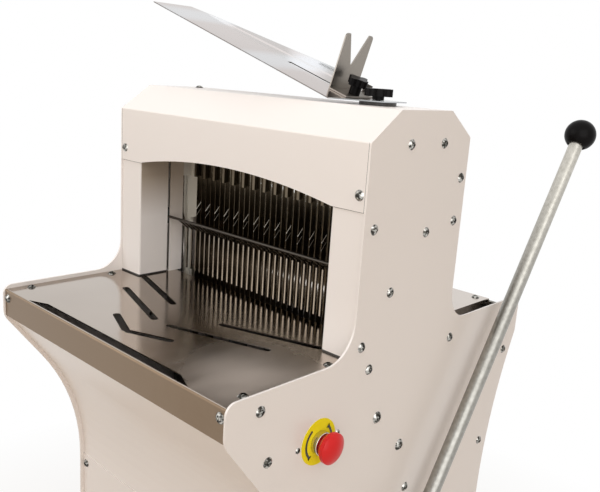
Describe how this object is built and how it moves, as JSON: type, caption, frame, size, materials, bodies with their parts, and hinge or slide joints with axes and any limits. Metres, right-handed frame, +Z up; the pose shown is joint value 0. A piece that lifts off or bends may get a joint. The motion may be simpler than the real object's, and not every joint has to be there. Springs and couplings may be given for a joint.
{
  "type": "bread slicer",
  "caption": "Floor-standing bread slicer whose side lever pushes a loaf through frames of upright saw blades under an arched hood onto a steel table, with a bag scoop on top.",
  "frame": {"origin": "on the floor, midway between the four feet", "axes": "+Z up, +X to the lever's side, -Y to the front where the sliced loaf comes out"},
  "size_m": [0.5885, 0.7346, 1.2776],
  "materials": {
    "powder_coat": "satin powder coat",
    "stainless": "bright brushed",
    "blade_steel": "ground",
    "zinc": "zinc plated",
    "tube_steel": "galvanised",
    "frame_steel": "machined",
    "ground_steel": "ground and polished",
    "plate_steel": "grey primer",
    "cast": "painted casting",
    "bronze": "sintered",
    "aluminium": "satin",
    "slide_plastic": "plain",
    "black_plastic": "satin",
    "red_plastic": "gloss",
    "yellow_plastic": "satin",
    "belt_rubber": "plain"
  },
  "bodies": {
    "casing": {"left_side_panel": "powder_coat", "right_side_panel": "powder_coat", "hood_cover": "powder_coat", "left_guard": "powder_coat", "right_guard": "powder_coat", "left_inner_wall": "powder_coat", "right_inner_wall": "powder_coat", "front_table": "stainless", "rear_table": "stainless", "apron": "powder_coat", "front_cover": "powder_coat", "rear_cover": "powder_coat", "base_pan": "plate_steel", "levelling_feet": "black_plastic", "tie_bars": "frame_steel", "rear_cross_bar": "frame_steel", "drive_deck": "plate_steel", "left_drive_plate": "plate_steel", "right_drive_plate": "plate_steel", "upper_guide_brackets": "plate_steel", "guide_beam": "plate_steel", "guide_columns": "ground_steel", "crank_bearings": "cast", "drive_belt": "belt_rubber", "motor": "cast", "comb_bushes": "slide_plastic", "slide_rods": "ground_steel", "shaft_bushes": "bronze", "stop_disc": "yellow_plastic", "stop_collar": "zinc", "stop_contacts": "slide_plastic", "fasteners": "zinc"},
    "lever": {"lever_shaft": "ground_steel", "slotted_arms": "frame_steel", "lever_tube": "tube_steel", "lever_ball": "black_plastic"},
    "pusher": {"pusher_frame": "stainless", "pusher_teeth": "aluminium", "pusher_carriages": "slide_plastic"},
    "comb": {"holding_comb": "stainless"},
    "front_frame": {"front_blade_frame": "frame_steel", "front_frame_blocks": "slide_plastic", "front_blades": "blade_steel", "front_blade_tabs": "zinc", "front_connecting_rods": "frame_steel"},
    "rear_frame": {"rear_blade_frame": "frame_steel", "rear_frame_blocks": "slide_plastic", "rear_blades": "blade_steel", "rear_blade_tabs": "zinc", "rear_connecting_rods": "frame_steel"},
    "crank": {"crank_shaft": "ground_steel", "crank_discs": "frame_steel", "driven_pulley": "cast"},
    "rotor": {"motor_pulley": "cast"},
    "stop_button": {"stop_button": "red_plastic"},
    "drawer": {"crumb_drawer": "stainless"},
    "scoop": {"bag_scoop": "stainless"},
    "scoop_knob": {"scoop_knob": "black_plastic"},
    "fork": {"fork_bracket": "stainless"},
    "fork_knob": {"fork_knob": "black_plastic"}
  },
  "joints": [
    {"name": "lever_swing", "type": "hinge", "parent": "casing", "child": "lever", "pos_m": [0, -0.007, 0.555], "axis": [1, 0, 0], "range_deg": [-33.8, 25.8]},
    {"name": "pusher_slide", "type": "slide", "parent": "casing", "child": "pusher", "axis": [0, -1, 0], "range_m": [-0.14, 0.107]},
    {"name": "comb_swing", "type": "hinge", "parent": "casing", "child": "comb", "pos_m": [0, -0.0895, 0.927], "axis": [-1, 0, 0], "range_deg": [0, 100], "stiffness_Nm_per_rad": 0.5, "springref_deg": -28.65},
    {"name": "front_frame_slide", "type": "slide", "parent": "casing", "child": "front_frame", "axis": [0, 0, 1], "range_m": [-0.0175, 0.0175]},
    {"name": "rear_frame_slide", "type": "slide", "parent": "casing", "child": "rear_frame", "axis": [0, 0, 1], "range_m": [-0.0175, 0.0175]},
    {"name": "crank_spin", "type": "hinge", "parent": "casing", "child": "crank", "pos_m": [0, -0.05, 0.43], "axis": [1, 0, 0], "continuous": true},
    {"name": "rotor_spin", "type": "hinge", "parent": "casing", "child": "rotor", "pos_m": [0, 0.119, 0.369], "axis": [1, 0, 0], "continuous": true},
    {"name": "stop_press", "type": "slide", "parent": "casing", "child": "stop_button", "axis": [-1, 0, 0], "range_m": [0, 0.005], "stiffness_N_per_m": 800, "springref_m": -0.004},
    {"name": "drawer_slide", "type": "slide", "parent": "casing", "child": "drawer", "axis": [0, -1, 0], "range_m": [0, 0.28]},
    {"name": "scoop_swivel", "type": "hinge", "parent": "casing", "child": "scoop", "pos_m": [0.178, -0.03691, 1.143], "axis": [0, 0, 1], "range_deg": [-90, 90]},
    {"name": "scoop_knob_turn", "type": "hinge", "parent": "casing", "child": "scoop_knob", "pos_m": [0.178, -0.03691, 1.143], "axis": [0, 0, 1], "range_deg": [0, 360]},
    {"name": "fork_slide", "type": "slide", "parent": "scoop", "child": "fork", "axis": [-0.9516, 0, 0.3074], "range_m": [0, 0.12]},
    {"name": "fork_knob_turn", "type": "hinge", "parent": "fork", "child": "fork_knob", "pos_m": [0.12644, -0.027, 1.15077], "axis": [0.3074, 0, 0.9516], "range_deg": [0, 360]}
  ],
  "couplings": [
    {"joint": "pusher_slide", "follows": "lever_swing", "m_per_rad": 0.2368},
    {"joint": "rear_frame_slide", "follows": "front_frame_slide", "ratio": -1},
    {"joint": "rotor_spin", "follows": "crank_spin", "ratio": 2}
  ]
}
